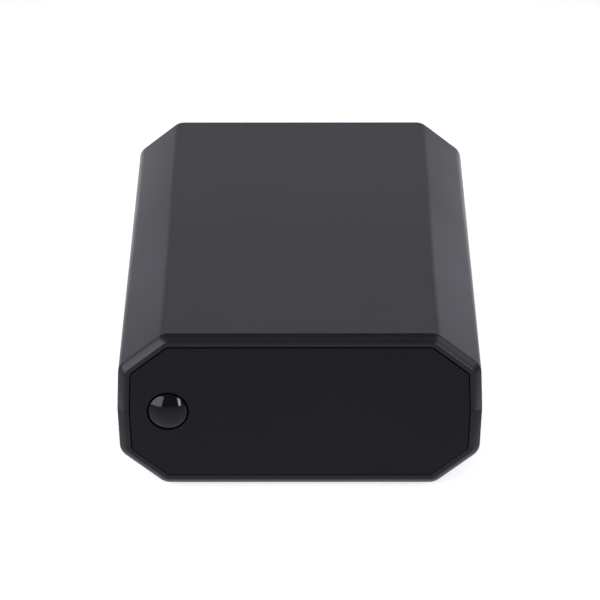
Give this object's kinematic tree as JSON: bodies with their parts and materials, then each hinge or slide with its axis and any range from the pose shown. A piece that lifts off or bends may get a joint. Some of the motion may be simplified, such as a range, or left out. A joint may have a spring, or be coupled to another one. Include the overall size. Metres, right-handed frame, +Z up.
{
  "type": "logic analyzer",
  "caption": "Bench-top USB logic analyzer: octagonal two-part plastic case, plain front panel with one domed push button, probe headers and a USB socket on the rear panel.",
  "frame": {"origin": "on the bench, under the middle of the whole object's box: the level of the feet's undersides", "axes": "+Z up, -Y towards the front panel, +X to the right as seen from the front"},
  "size_m": [0.1, 0.153, 0.0472],
  "materials": {
    "case_plastic": "black moulded plastic with a fine matt texture",
    "panel_plastic": "black plastic plate, smooth satin",
    "button_plastic": "black plastic, polished",
    "foot_rubber": "matt black rubber",
    "screw_steel": "zinc-plated steel",
    "spring_steel": "bright drawn wire",
    "plated_steel": "nickel-plated sheet steel",
    "white_plastic": "off-white moulded plastic",
    "header_plastic": "black moulded plastic, with gold-plated pins",
    "circuit_board": "green solder mask over glass-fibre laminate",
    "chip_plastic": "black epoxy moulding",
    "can_aluminium": "drawn metal can",
    "inductor_ferrite": "dark grey sintered ferrite"
  },
  "bodies": {
    "case": {"top_shell": "case_plastic", "bottom_shell": "case_plastic", "front_panel": "panel_plastic", "rear_panel": "panel_plastic", "foot_front_left": "foot_rubber", "foot_front_right": "foot_rubber", "foot_rear_left": "foot_rubber", "foot_rear_right": "foot_rubber", "case_screw_front_left": "screw_steel", "case_screw_front_right": "screw_steel", "case_screw_rear_left": "screw_steel", "case_screw_rear_right": "screw_steel", "board_screw_front_left": "screw_steel", "board_screw_front_right": "screw_steel", "board_screw_rear_left": "screw_steel", "board_screw_rear_right": "screw_steel", "start_switch_spring": "spring_steel", "usb_socket_shell": "plated_steel", "usb_socket_tongue": "white_plastic", "probe_header_a": "header_plastic", "probe_header_b": "header_plastic", "main_circuit_board": "circuit_board", "fpga_chip": "chip_plastic", "sample_memory_chip_1": "chip_plastic", "sample_memory_chip_2": "chip_plastic", "usb_controller_chip": "chip_plastic", "configuration_memory_chip": "chip_plastic", "input_buffer_chip_1": "chip_plastic", "input_buffer_chip_2": "chip_plastic", "input_buffer_chip_3": "chip_plastic", "input_buffer_chip_4": "chip_plastic", "resistor_network_1": "chip_plastic", "resistor_network_2": "chip_plastic", "resistor_network_3": "chip_plastic", "resistor_network_4": "chip_plastic", "voltage_regulator": "chip_plastic", "reset_fuse": "chip_plastic", "start_switch_body": "chip_plastic", "clock_oscillator": "can_aluminium", "usb_crystal": "can_aluminium", "filter_capacitor_1": "can_aluminium", "filter_capacitor_2": "can_aluminium", "power_inductor": "inductor_ferrite"},
    "start_button": {"start_button_cap": "button_plastic", "start_switch_plunger": "white_plastic"}
  },
  "joints": [
    {"name": "start_button_press", "type": "slide", "parent": "case", "child": "start_button", "axis": [0, 1, 0], "range_m": [0, 0.0015], "stiffness_N_per_m": 800, "springref_m": -0.001}
  ]
}
